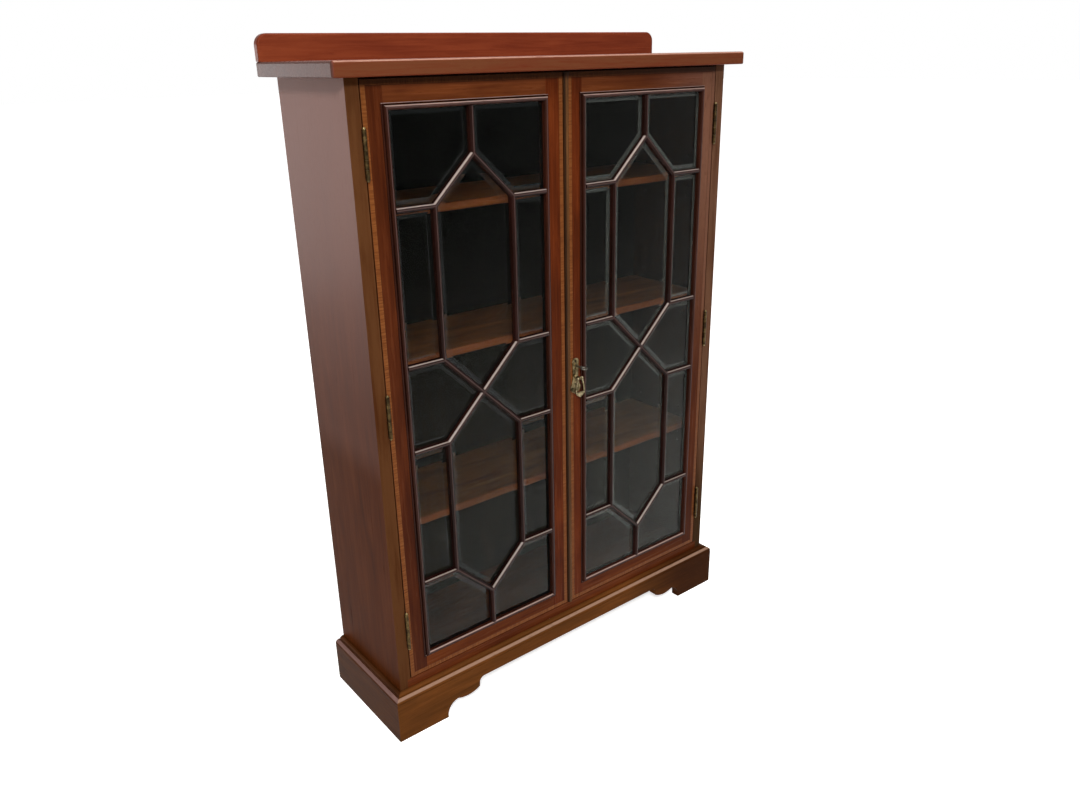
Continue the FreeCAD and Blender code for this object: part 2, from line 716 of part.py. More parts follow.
# The handle plate: a rounded head, a waist and a spade-shaped foot, with a post for the drop.
plate_steps = [
    (plate_x - 9.0, plate_high - 14.0),
    ((plate_x, plate_high), (plate_x + 9.0, plate_high - 14.0)),
    (plate_x + 8.0, plate_low + 45.0),
    ((plate_x + 9.5, plate_low + 34.0), (plate_x + 14.0, plate_low + 21.0)),
    ((plate_x + 13.0, plate_low + 10.0), (plate_x + 5.0, plate_low + 4.5)),
    (plate_x, plate_low),
    (plate_x - 5.0, plate_low + 4.5),
    ((plate_x - 13.0, plate_low + 10.0), (plate_x - 14.0, plate_low + 21.0)),
    ((plate_x - 9.5, plate_low + 34.0), (plate_x - 8.0, plate_low + 45.0)),
]
handle_plate = outline(plate_steps, lambda x, z: V(x, front, z)).extrude(V(0, -plate_thick, 0))
handle_y = front - handle_out
post_base = front - plate_thick
ball_start = handle_y + math.sqrt(post_radius ** 2 - post_neck ** 2)
post_steps = [
    (0.0, post_base), (5.4, post_base),
    ((4.6, post_base - 3.0), (post_neck, post_base - 4.2)),
    (post_neck, ball_start),
    ((post_radius, handle_y), (0.0, handle_y - post_radius)),
]
post_half = outline(post_steps, lambda x, y: V(plate_x + x, y, handle_z))
post_shape = post_half.revolve(V(plate_x, front, handle_z), V(0, 1, 0), 360)
handle_plate = handle_plate.fuse(post_shape).cut(keyway)
rim_ring = rod(keyhole_radius + 1.6, V(plate_x, front - plate_thick, key_z), V(0, -1, 0), 1.2)
handle_plate = handle_plate.fuse(rim_ring.cut(keyway)).removeSplitter()
swivel_bore = rod(swivel_radius + swivel_fit, V(plate_x - 10.0, handle_y, handle_z), V(1, 0, 0), 20.0)
nodes["handle_plate"] = handle_plate.cut(swivel_bore)

# The drop: two slim bowed arms that spread from balls beside the post to a heavy pointed foot.
eye = post_radius + 0.4
shoulder_x = eye + drop_arm
foot_in = drop_half - drop_arm
drop_steps = [
    (-eye, 2.0), (-shoulder_x, 2.0),
    ((-11.0, -13.0), (-drop_half, -drop_long + 15.0)),
    ((-drop_half + 0.9, -drop_long + 10.5), (-drop_half + 3.6, -drop_long + 7.0)),
    (0.0, -drop_long),
    (drop_half - 3.6, -drop_long + 7.0),
    ((drop_half - 0.9, -drop_long + 10.5), (drop_half, -drop_long + 15.0)),
    ((11.0, -13.0), (shoulder_x, 2.0)),
    (eye, 2.0), (eye, -3.0),
    ((8.1, -14.0), (foot_in, -drop_long + foot_high)),
    (-foot_in, -drop_long + foot_high),
    ((-8.1, -14.0), (-eye, -3.0)),
]
drop = outline(drop_steps, lambda x, z: V(plate_x + x, handle_y - drop_thick / 2.0, handle_z + z))
drop = drop.extrude(V(0, drop_thick, 0))
drop = drop.makeFillet(drop_soft, [e for e in drop.Edges if e.BoundBox.YLength < 0.01])
for way in (-1.0, 1.0):
    ball = Part.makeSphere(drop_ball, V(plate_x + way * (eye + drop_arm / 2.0), handle_y, handle_z))
    drop = drop.fuse(ball)
drop = drop.cut(rod(eye, V(plate_x, handle_y - eye, handle_z), V(0, 1, 0), 2.0 * eye))
swivel = rod(swivel_radius, V(plate_x - 6.0, handle_y, handle_z), V(1, 0, 0), 12.0)
nodes["drop_handle"] = drop.fuse(swivel).removeSplitter()

# Slip bolts on the back of the left meeting stile, one up into the rail, one down.
slip_y0 = door_back


def slip_bolt(end_z, up):
    # end_z is where the rod's tip rests; up is 1 for the upper bolt and -1 for the lower one.
    far = end_z - up * slip_length
    shank = rod(slip_radius, V(slip_x, slip_y, min(end_z, far)), V(0, 0, 1), slip_length)
    knob_z = end_z - up * slip_length / 2.0
    knob_neck = rod(2.0, V(slip_x, slip_y, knob_z), V(0, 1, 0), 8.0)
    knob = Part.makeSphere(3.4, V(slip_x, slip_y + 9.0, knob_z))
    bolt = fused([shank, knob_neck, knob])
    plate_a = end_z - up * 12.0
    plate_b = end_z - up * (slip_length - 6.0)
    plate = box(slip_x - slip_plate_wide / 2.0, slip_x + slip_plate_wide / 2.0, slip_y0,
                slip_y0 + slip_plate, min(plate_a, plate_b), max(plate_a, plate_b))
    guides = []
    for guide_z in (plate_a - up * 7.0, plate_b + up * 7.0):
        guides.append(box(slip_x - 6.0, slip_x + 6.0, slip_y0, slip_y + slip_radius + 2.0, guide_z - 4.0,
                          guide_z + 4.0))
    holder = fused([plate] + guides)
    holder = holder.cut(rod(slip_radius + fit / 2.0, V(slip_x, slip_y, min(end_z, far) - 20), V(0, 0, 1),
                            slip_length + 40))
    return bolt, holder


upper_bolt, upper_holder = slip_bolt(rail_low - 1.5, 1.0)
lower_bolt, lower_holder = slip_bolt(bottom_top + 1.5, -1.0)
nodes["upper_slip_bolt"] = upper_bolt
nodes["lower_slip_bolt"] = lower_bolt
nodes["slip_bolt_guides"] = Part.makeCompound([upper_holder, lower_holder])

# Strike plate let into the edge of the left meeting stile, with the mortise behind it.
strike = box(left_meet - 1.2, left_meet, bolt_y0 - 3.0, bolt_y1 + 3.0, bolt_low - 8.0, bolt_high + 8.0)
mortise = box(left_meet - 10.0, left_meet, bolt_y0 - 2 * fit, bolt_y1 + 2 * fit, bolt_low - 2 * fit,
              bolt_high + 2 * fit)
nodes["strike_plate"] = strike.cut(mortise)

names = ("hinge_stile", "meeting_stile")
for hand, parts in (("left", left_parts), ("right", right_parts)):
    stiles, rails, band, moulding, beads = parts
    seats = door_leaf_seats if hand == "left" else [mirrored(s) for s in door_leaf_seats]
    for seat in seats:
        stiles[0] = stiles[0].cut(seat)
        band = [strip.cut(seat) for strip in band]
    beads = [bead.cut(nodes[hand + "_glazing_bars"]) for bead in beads]
    if hand == "left":
        stiles[1] = stiles[1].cut(strike).cut(mortise)
    else:
        stiles[1] = stiles[1].cut(lock_case).cut(keyway)
        band = [strip.cut(keyway) for strip in band]
    for name, stile in zip(names, stiles):
        nodes[hand + "_" + name] = stile
    nodes[hand + "_top_rail"] = rails[0]
    nodes[hand + "_bottom_rail"] = rails[1]
    nodes[hand + "_crossbanding"] = Part.makeCompound(band)
    nodes[hand + "_glass_moulding"] = Part.makeCompound(moulding)
    nodes[hand + "_putty_beads"] = Part.makeCompound(beads)

# The bead that covers the joint between the doors is fixed to the right door only.
bead_mid = right_meet + bead_width / 2.0
bead_radius = bead_width / 2.0
bead_steps = [
    (bead_mid - bead_radius, front), (bead_mid - bead_radius, front - 1.0),
    ((bead_mid, front - bead_radius), (bead_mid + bead_radius, front - 1.0)),
    (bead_mid + bead_radius, front),
]
bead_end = outline(bead_steps, lambda x, y: V(x, y, door_low))
nodes["meeting_bead"] = bead_end.extrude(V(0, 0, door_high - door_low))

os.makedirs("parts", exist_ok=True)
for name, shape in nodes.items():
    shape.exportStep("parts/" + name + ".step")
print(len(nodes), "nodes written")
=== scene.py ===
import bpy
import bmesh
import math
from mathutils import Matrix, Vector


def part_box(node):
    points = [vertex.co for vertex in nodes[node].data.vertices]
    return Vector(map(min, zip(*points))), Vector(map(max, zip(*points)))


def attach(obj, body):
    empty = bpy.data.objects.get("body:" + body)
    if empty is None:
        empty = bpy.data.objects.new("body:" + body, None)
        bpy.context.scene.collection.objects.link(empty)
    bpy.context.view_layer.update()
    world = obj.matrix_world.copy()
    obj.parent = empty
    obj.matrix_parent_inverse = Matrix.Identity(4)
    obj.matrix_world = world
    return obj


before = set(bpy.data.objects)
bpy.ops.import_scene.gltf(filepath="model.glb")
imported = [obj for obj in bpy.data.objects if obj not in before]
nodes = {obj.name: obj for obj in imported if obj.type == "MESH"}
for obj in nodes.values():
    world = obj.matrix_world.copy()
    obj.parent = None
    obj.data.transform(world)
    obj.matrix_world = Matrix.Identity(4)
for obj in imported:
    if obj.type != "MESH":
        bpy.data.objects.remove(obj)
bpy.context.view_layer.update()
print("frame loaded,", len(nodes), "pieces")


def ends(node, axis, inset=0.0):
    # the two places along a piece that lie so far in from its low and its high end, in millimetres
    low, high = (round(corner["XYZ".index(axis)] * 1000.0, 2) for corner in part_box(node))
    return low + inset, high - inset


def hexToLinear(code):
    # sRGB hex to the linear values that the shaders take
    values = [int(code[i:i + 2], 16) / 255 for i in (1, 3, 5)]
    return tuple(v / 12.92 if v <= 0.04045 else ((v + 0.055) / 1.055) ** 2.4 for v in values) + (1.0,)


def addNode(tree, kind, settings=None, links=None):
    # one node; a setting is a property of the node, or else the value of a socket. In a colour mix
    # socket 0 is the share, 6 and 7 are the colours, and output 2 is the result
    node = tree.nodes.new(kind)
    for key, value in (settings or {}).items():
        if key == "stops":
            # places and colours along a ramp
            ramp = node.color_ramp.elements
            while len(ramp) < len(value):
                ramp.new(0.5)
            for element, (place, code) in zip(ramp, value):
                element.position = place
                element.color = hexToLinear(code)
        elif isinstance(key, str) and hasattr(node, key):
            setattr(node, key, value)
        else:
            node.inputs[key].default_value = value
    for key, source in (links or {}).items():
        tree.links.new(source, node.inputs[key])
    return node


def newFinish(name):
    # an empty material with its shader and output joined, ready for a finish
    material = bpy.data.materials.new(name)
    material.use_nodes = True
    tree = material.node_tree
    tree.nodes.clear()
    shader = addNode(tree, "ShaderNodeBsdfPrincipled")
    addNode(tree, "ShaderNodeOutputMaterial", {}, {"Surface": shader.outputs[0]})
    return material, tree, shader


# Camera, solved from the straight edges of the bookcase in the photograph.
camera = {
    "place": (-1.263592, -1.628014, 1.457913),
    "yaw": 38.224,
    "pitch": -21.439,
    "roll": 1.192,
    "focalPixels": 893.063,
    "imageWidth": 1080,
    "sensorMm": 36.0,
    "clipEnd": 200.0,
}


def makeCamera():
    data = bpy.data.cameras.new("studioCamera")
    data.sensor_width = camera["sensorMm"]
    data.lens = camera["focalPixels"] / camera["imageWidth"] * camera["sensorMm"]
    data.clip_end = camera["clipEnd"]
    thing = bpy.data.objects.new("studioCamera", data)
    turn = (Matrix.Rotation(math.radians(-camera["yaw"]), 4, "Z")
            @ Matrix.Rotation(math.radians(90.0 + camera["pitch"]), 4, "X")
            @ Matrix.Rotation(math.radians(-camera["roll"]), 4, "Z"))
    thing.matrix_world = Matrix.Translation(camera["place"]) @ turn
    bpy.context.scene.collection.objects.link(thing)
    bpy.context.scene.camera = thing


makeCamera()
print("camera placed")

# Studio: a pale paper floor under a white surround. The surround and the floor show white to the
# camera and in reflections, and light the bookcase at a lower level. In front of the doors the
# reflected surround is dimmer, as towards the dark end of a room, so that the panes stay clear:
# it fades as Y falls, in metres on the floor and as the direction's Y in the sky. All lengths here
# are in metres.
studio = {
    "floorColor": "#f4f3f0",
    "floorMottle": "#f6f5f3",
    "floorSize": 80.0,
    "mottleSize": 0.4,
    "floorRough": 0.9,
    "floorMirror": 0.1,
    "worldLevel": 0.24,
    "backgroundLevel": 1.0,
    "floorLift": 0.66,
    "fadeFrom": 0.9,
    "fadeTo": 2.6,
    "frontShare": 0.2,
    "floorDims": (-0.45, 0.1),
    "skyDims": (-0.64, -0.45),
}
lamps = {
    # a small softbox high on the left, which draws the bright crests of the mouldings
    "keyBox": {"place": (-1.9, -2.5, 2.6), "target": (0.0, -0.1, 0.8),
               "size": (0.45, 0.45), "watts": 95},
    # a standing panel behind on the left, mirrored in the upper part of the left side
    "sidePanel": {"place": (-2.1, 3.2, 1.0), "target": (-0.5, 0.0, 1.2),
                  "size": (1.9, 1.7), "watts": 60},
    # a broad overhead panel, which leaves the front under the top board in shade
    "topPanel": {"place": (0.3, -0.9, 3.4), "target": (0.0, 0.0, 0.6),
                 "size": (2.4, 1.4), "watts": 70},
}


def shownSurround(tree, where, span):
    # 1 where the surround shows as white: to the camera all round, and in mirrors and glass,
    # but fading to frontShare as Y falls through the span
    path = addNode(tree, "ShaderNodeLightPath")
    mirrored = addNode(tree, "ShaderNodeMath", {"operation": "ADD", "use_clamp": True},
                       {0: path.outputs["Is Glossy Ray"], 1: path.outputs["Is Transmission Ray"]})
    place = addNode(tree, "ShaderNodeSeparateXYZ", {}, {0: where})
    ahead = addNode(tree, "ShaderNodeMapRange",
                    {"From Min": span[0], "From Max": span[1],
                     "To Min": studio["frontShare"], "To Max": 1.0}, {"Value": place.outputs["Y"]})
    dimmed = addNode(tree, "ShaderNodeMath", {"operation": "MULTIPLY"},
                     {0: mirrored.outputs[0], 1: ahead.outputs[0]})
    shown = addNode(tree, "ShaderNodeMath", {"operation": "ADD", "use_clamp": True},
                    {0: path.outputs["Is Camera Ray"], 1: dimmed.outputs[0]})
    return shown.outputs[0]


def layPaperFloor():
    mesh = bpy.data.meshes.new("studioFloor")
    half = studio["floorSize"] / 2
    corners = [(-half, -half, 0), (half, -half, 0), (half, half, 0), (-half, half, 0)]
    mesh.from_pydata(corners, [], [(0, 1, 2, 3)])
    floor = bpy.data.objects.new("studioFloor", mesh)
    bpy.context.scene.collection.objects.link(floor)
    paper, tree, shader = newFinish("mattePaperFloor")
    where = addNode(tree, "ShaderNodeTexCoord")
    # faint mottling of a paper roll
    mottle = addNode(tree, "ShaderNodeTexNoise", {"Scale": 1.0 / studio["mottleSize"], "Detail": 2.0},
                     {"Vector": where.outputs["Object"]})
    tone = addNode(tree, "ShaderNodeValToRGB",
                   {"stops": [(0.3, studio["floorColor"]), (0.7, studio["floorMottle"])]},
                   {"Fac": mottle.outputs[0]})
    shader.inputs["Roughness"].default_value = studio["floorRough"]
    shader.inputs["Specular IOR Level"].default_value = studio["floorMirror"]
    tree.links.new(tone.outputs[0], shader.inputs["Base Color"])
    shown = shownSurround(tree, where.outputs["Object"], studio["floorDims"])
    # the paper shows its shadows near the bookcase and runs out to plain white
    away = addNode(tree, "ShaderNodeVectorMath", {"operation": "LENGTH"}, {0: where.outputs["Object"]})
    fade = addNode(tree, "ShaderNodeMapRange",
                   {"From Min": studio["fadeFrom"], "From Max": studio["fadeTo"],
                    "To Min": studio["floorLift"], "To Max": 1.0}, {"Value": away.outputs["Value"]})
    lift = addNode(tree, "ShaderNodeMath", {"operation": "MULTIPLY"}, {0: shown, 1: fade.outputs[0]})
    shader.inputs["Emission Color"].default_value = (1.0, 1.0, 1.0, 1.0)
    tree.links.new(lift.outputs[0], shader.inputs["Emission Strength"])
    mesh.materials.append(paper)


def hangWhiteSurround():
    world = bpy.data.worlds.new("studioWorld")
    bpy.context.scene.world = world
    world.use_nodes = True
    tree = world.node_tree
    tree.nodes.clear()
    way = addNode(tree, "ShaderNodeTexCoord").outputs["Generated"]
    shown = shownSurround(tree, way, studio["skyDims"])
    level = addNode(tree, "ShaderNodeMapRange",
                    {"To Min": studio["worldLevel"], "To Max": studio["backgroundLevel"]},
                    {"Value": shown})
    sky = addNode(tree, "ShaderNodeBackground", {"Color": (1.0, 1.0, 1.0, 1.0)},
                  {"Strength": level.outputs[0]})
    addNode(tree, "ShaderNodeOutputWorld", {}, {"Surface": sky.outputs[0]})


def hangLamps():
    for name, lamp in lamps.items():
        data = bpy.data.lights.new(name, "AREA")
        data.shape = "RECTANGLE"
        data.size, data.size_y = lamp["size"]
        data.energy = lamp["watts"]
        thing = bpy.data.objects.new(name, data)
        thing.location = lamp["place"]
        aim = Vector(lamp["target"]) - Vector(lamp["place"])
        thing.rotation_euler = aim.to_track_quat("-Z", "Y").to_euler()
        # behind glass the white surround is light enough, and free of sparks
        thing.visible_transmission = False
        bpy.context.scene.collection.objects.link(thing)


bpy.context.scene.view_settings.view_transform = "Standard"
# an even sampling pattern, because the blue noise one leaves marks in the panes
bpy.context.scene.cycles.sampling_pattern = "TABULATED_SOBOL"
layPaperFloor()
hangWhiteSurround()
hangLamps()
print("studio lit")

# Mahogany, French polished: shellac rubbed over filled grain, so the colour lies deep and the
# gloss is soft and slightly uneven. Streaks are about 3 mm wide in the wood and figure about 30 mm.
# The inside is left from the saw and stained dark. Each kind has the tones of its grain and of its
# planed edge, its roughness, how much it mirrors, its relief, and how dark its pores are.
mahogany = {
    "sides": {"dark": "#361706", "mid": "#431e08", "light": "#502811", "edge": "#4f301a",
              "rough": 0.28, "mirror": 0.008, "bump": 0.04, "pores": 0.12},
    "sidesRight": {"dark": "#371a0d", "mid": "#432311", "light": "#502d1a", "edge": "#5f4130",
                   "rough": 0.28, "mirror": 0.008, "bump": 0.04, "pores": 0.12},
    "top": {"dark": "#5a2415", "mid": "#672c19", "light": "#75361f", "edge": "#5b321e",
            "rough": 0.26, "mirror": 0.03, "bump": 0.06},
    "gallery": {"dark": "#5a2415", "mid": "#672c19", "light": "#75361f",
                "rough": 0.26, "mirror": 0.03, "bump": 0.06},
    "frame": {"dark": "#311206", "mid": "#421c0a", "light": "#542711",
              "rough": 0.24, "mirror": 0.04, "bump": 0.08},
    "frameRight": {"dark": "#311206", "mid": "#421c0a", "light": "#542711",
                   "rough": 0.24, "mirror": 0.04, "bump": 0.08},
    "meeting": {"dark": "#381506", "mid": "#50200a", "light": "#642c10",
                "rough": 0.24, "mirror": 0.04, "bump": 0.08},
    "rails": {"dark": "#48210f", "mid": "#5d2f16", "light": "#703b1b",
              "rough": 0.24, "mirror": 0.04, "bump": 0.08},
    "lowRails": {"dark": "#431d0d", "mid": "#582911", "light": "#6b3616",
                 "rough": 0.24, "mirror": 0.03, "bump": 0.08},
    "plinth": {"dark": "#472910", "mid": "#593315", "light": "#6a3d1a",
               "rough": 0.28, "mirror": 0.01, "bump": 0.10},
    "plinthSides": {"dark": "#301808", "mid": "#3f210d", "light": "#4c2b15",
                    "rough": 0.32, "mirror": 0.01, "bump": 0.10},
    "shelf": {"dark": "#66391e", "mid": "#8a5029", "light": "#a56739", "edge": "#a45938",
              "rough": 0.42, "mirror": 0.06, "bump": 0.12},
    "bead": {"dark": "#3f2714", "mid": "#50331b", "light": "#654123",
             "rough": 0.20, "mirror": 0.08, "bump": 0.06},
    "bars": {"dark": "#140805", "mid": "#1d0c08", "light": "#29120d",
             "rough": 0.20, "mirror": 0.10, "bump": 0.03},
    "mouldings": {"dark": "#1c0b06", "mid": "#2a120a", "light": "#3a1a10",
                  "rough": 0.20, "mirror": 0.10, "bump": 0.03},
    "carcass": {"dark": "#33200f", "mid": "#4d331c", "light": "#634527",
                "rough": 0.62, "mirror": 0.15, "bump": 0.25},
    "backs": {"dark": "#1f170f", "mid": "#2c2117", "light": "#3a2c1e",
              "rough": 0.60, "mirror": 0.10, "bump": 0.25},
}
# painted shade on the faces in the gaps where the doors and the case meet: which face, and how much
# further from the middle of the front than that face the painted shade is full and gone, in millimetres
gapShadeFaces = {
    "frame": {"face": ends("left_hinge_stile", "X")[0], "fullShade": -0.25, "polished": -0.75},
    "frameRight": {"face": ends("right_hinge_stile", "X")[1], "fullShade": -0.25, "polished": -0.75},
    "bead": {"face": ends("meeting_bead", "X")[0], "fullShade": 0.2, "polished": 1.2},
    "meeting": {"face": ends("left_meeting_stile", "X")[1], "fullShade": 0.0, "polished": 0.75},
    "sides": {"face": ends("side_board_left", "X")[1], "fullShade": 0.25, "polished": 0.75},
    "sidesRight": {"face": ends("side_board_right", "X")[0], "fullShade": 0.25, "polished": 0.75},
}
# the colour of the painted shade in the gaps
gapShadeTone = "#1c100a"
# the planed front edge of a board has a tone of its own: which board, and how deep it goes in
# millimetres
planedEdges = {"sides": ("side_board_left", 0.3), "sidesRight": ("side_board_right", 0.3),
               "top": ("top_board", 0.3), "shelf": ("shelf_upper", 3.5)}
# where the colour has changed with age, and where painted shade, highlights and reflections lie:
# along which axis, from where to where in millimetres, to what tone and how far. A span is measured
# from a face where one is given, and a change may lie only before some Y
ageingAndPaintedLight = {
    # painted highlights along the crests of the bars and of the moulding round the glass
    "bars": [{"axis": "Y", "face": ends("left_glazing_bars", "Y")[0], "span": (0.22, 0.02),
              "tone": "#665350", "most": 0.35}],
    "mouldings": [{"axis": "Y", "face": ends("left_glass_moulding", "Y")[0], "span": (0.22, 0.02),
                   "tone": "#665350", "most": 0.35}],
    # the right-hand stile, that end of the top rails and the left end of the top have faded
    # towards grey
    "frameRight": [{"axis": "Z", "span": (550.0, 1250.0), "tone": "#74503f", "most": 0.7}],
    "rails": [{"axis": "X", "span": (220.0, 440.0), "tone": "#6a483c", "most": 0.6}],
    "top": [{"axis": "X", "face": ends("top_board", "X")[0], "span": (6.0, 0.5),
             "tone": "#423633", "most": 0.7}],
    # the right ends of the plinth and of the bottom rails have gone dark
    "plinth": [{"axis": "X", "span": (160.0, 430.0), "tone": "#260f05", "most": 0.8}],
    "lowRails": [{"axis": "X", "span": (160.0, 440.0), "tone": "#371604", "most": 0.5}],
    # painted shade on the inner faces of the back boards, deepest near the top
    "backs": [{"axis": "Z", "span": (350.0, 1150.0), "tone": "#0c0d0f", "most": 0.9,
               "before": ends("back_boards", "Y", 7.0)[0]}],
    # a painted reflection on the sides: a grey sheen, heaviest at the top and with a lower edge
    "sides": [{"axis": "Z", "span": (620.0, 710.0), "tone": "#80625b", "most": 0.17},
              {"axis": "Z", "span": (700.0, 1400.0), "tone": "#80625b", "most": 0.82}],
}
# the front edge of the right-hand side has gone dark towards the foot
edgeAgeing = {"sidesRight": {"axis": "Z", "span": (500.0, 220.0), "tone": "#261905", "most": 0.75}}
# painted highlights on the faces that look towards the light: from where to where as the cosine to
# that way, to what tone, how far, and under which height in millimetres
paintedHighlights = {
    # painted highlights on the crests that face up and towards the left
    "bars": {"toward": (-0.42, -0.55, 0.72), "span": (0.82, 0.94), "tone": "#9a8a82", "most": 0.78},
    "mouldings": {"toward": (-0.30, -0.55, 0.78), "span": (0.83, 0.91), "tone": "#9c8278", "most": 0.8},
    # painted highlights on the upper faces of the plinth mouldings
    "plinth": {"toward": (0.0, -0.5, 0.866), "span": (0.87, 0.97), "tone": "#9c7c68", "most": 0.72,
               "under": ends("plinth_moulding_front", "Z", 5.06)[1]},
    "plinthSides": {"toward": (-0.5, 0.0, 0.866), "span": (0.80, 0.95), "tone": "#82645e", "most": 0.7,
                    "under": ends("plinth_moulding_left", "Z", 5.06)[1]},
    # a painted highlight along the upper front arris of the top
    "top": {"toward": (0.0, -0.70, 0.714), "span": (0.90, 0.98), "tone": "#a07e6e", "most": 0.7},
}
# painted shadow under the overhang of the top, and on which kinds it shows
overhangShadow = {"kinds": ("frame", "frameRight", "meeting", "rails", "bead"),
            "paintedShadow": {"axis": "Z", "face": ends("top_board", "Z")[0], "span": (-23.0, -10.0),
                     "tone": "#1a0a04", "most": 0.75}}
# the grain: how coarse across it in millimetres, how many times longer along it, and its noise
grain = {
    "streak": {"mm": 3.0, "stretch": 22.0, "detail": 3.0, "distortion": 0.4},
    "figure": {"mm": 30.0, "stretch": 5.0, "detail": 3.0, "distortion": 1.1},
    "pore": {"mm": 1.1, "stretch": 9.0, "detail": 1.0, "distortion": 0.0},
}
# the polish: how much of the colour the streaks make, where in the noise the pores open and how
# far filler darkens them, how much glossier and duller it gets, how deep the relief is, and the IOR
# of shellac
polish = {"streakShare": 0.42, "poreFrom": 0.60, "poreTo": 0.76, "fillerShare": 0.5,
          "glossier": 0.04, "duller": 0.08, "reliefMm": 0.4, "ior": 1.5}
# the boards of the back: how many, and the dark joint between two
boards = {"count": 8, "jointMm": 1.4, "jointTone": "#090705"}
boardsFrom, boardsTo = ends("back_boards", "X")
boardWidth = (boardsTo - boardsFrom) / boards["count"]
finishes = {}


def axisShiftShare(tree, place, change):
    # how far a change of colour has gone along its axis
    face = change.get("face", 0.0)
    shifted = addNode(tree, "ShaderNodeMapRange",
                   {"From Min": (face + change["span"][0]) / 1000.0,
                    "From Max": (face + change["span"][1]) / 1000.0,
                    "To Max": change["most"], "interpolation_type": "SMOOTHSTEP"},
                   {"Value": place.outputs[change["axis"]]}).outputs[0]
    if "before" in change:
        before = addNode(tree, "ShaderNodeMath",
                         {"operation": "LESS_THAN", 1: change["before"] / 1000.0},
                         {0: place.outputs["Y"]})
        shifted = addNode(tree, "ShaderNodeMath", {"operation": "MULTIPLY"},
                       {0: shifted, 1: before.outputs[0]}).outputs[0]
    return shifted


def axisShiftedTone(tree, place, tone, change):
    # the tone with a change of colour laid over it
    return addNode(tree, "ShaderNodeMix", {"data_type": "RGBA", 7: hexToLinear(change["tone"])},
                   {0: axisShiftShare(tree, place, change), 6: tone}).outputs[2]


def highlightedTone(tree, surface, place, tone, highlight):
    # the tone with a painted highlight on the faces that look one way
    leaning = addNode(tree, "ShaderNodeVectorMath", {"operation": "DOT_PRODUCT", 1: highlight["toward"]},
                      {0: surface.outputs["Normal"]})
    share = addNode(tree, "ShaderNodeMapRange",
                    {"From Min": highlight["span"][0], "From Max": highlight["span"][1],
                     "To Max": highlight["most"], "interpolation_type": "SMOOTHSTEP"},
                    {"Value": leaning.outputs["Value"]}).outputs[0]
    if "under" in highlight:
        under = addNode(tree, "ShaderNodeMath",
                        {"operation": "LESS_THAN", 1: highlight["under"] / 1000.0},
                        {0: place.outputs["Z"]})
        share = addNode(tree, "ShaderNodeMath", {"operation": "MULTIPLY"},
                        {0: share, 1: under.outputs[0]}).outputs[0]
    return addNode(tree, "ShaderNodeMix", {"data_type": "RGBA", 7: hexToLinear(highlight["tone"])},
                   {0: share, 6: tone}).outputs[2]


def boardedTone(tree, place, tone):
    # the tone with a dark joint between two boards, by how far a place is from the nearest joint
    # in board widths
    along = addNode(tree, "ShaderNodeMath",
                    {"operation": "MULTIPLY_ADD", 1: 1000.0 / boardWidth,
                     2: -boardsFrom / boardWidth}, {0: place.outputs["X"]})
    fromJoint = addNode(tree, "ShaderNodeMath", {"operation": "PINGPONG", 1: 0.5},
                        {0: along.outputs[0]})
    inJoint = addNode(tree, "ShaderNodeMath",
                      {"operation": "LESS_THAN", 1: boards["jointMm"] / 2.0 / boardWidth},
                      {0: fromJoint.outputs[0]})
    return addNode(tree, "ShaderNodeMix",
                   {"data_type": "RGBA", 7: hexToLinear(boards["jointTone"])},
                   {0: inJoint.outputs[0], 6: tone}).outputs[2]


def gapShadedTone(tree, place, tone, edge):
    # the tone with painted shade on a face in a gap: white where the shade is full, along the distance
    # from the middle of the front in half metres
    stops = sorted([((abs(edge["face"]) + edge["fullShade"]) / 500.0, "#ffffff"),
                    ((abs(edge["face"]) + edge["polished"]) / 500.0, "#000000")])
    off = addNode(tree, "ShaderNodeMath", {"operation": "ABSOLUTE"}, {0: place.outputs["X"]})
    share = addNode(tree, "ShaderNodeMath", {"operation": "DIVIDE", 1: 0.5}, {0: off.outputs[0]})
    fullShade = addNode(tree, "ShaderNodeValToRGB", {"stops": stops}, {"Fac": share.outputs[0]})
    return addNode(tree, "ShaderNodeMix", {"data_type": "RGBA", 7: hexToLinear(gapShadeTone)},
                   {0: fullShade.outputs[0], 6: tone}).outputs[2]


def planedTone(tree, place, tone, blend, kind):
    # the tone with the planed front edge of a board
    board, deep = planedEdges[kind]
    onEdge = addNode(tree, "ShaderNodeMath",
                     {"operation": "LESS_THAN", 1: ends(board, "Y", deep)[0] / 1000.0},
                     {0: place.outputs["Y"]})
    look = mahogany[kind]
    edgeTone = addNode(tree, "ShaderNodeValToRGB",
                       {"stops": [(0.25, look["dark"]), (0.55, look["edge"])]},
                       {"Fac": blend.outputs[0]}).outputs[0]
    if kind in edgeAgeing:
        edgeTone = axisShiftedTone(tree, place, edgeTone, edgeAgeing[kind])
    return addNode(tree, "ShaderNodeMix", {"data_type": "RGBA"},
                   {0: onEdge.outputs[0], 6: tone, 7: edgeTone}).outputs[2]


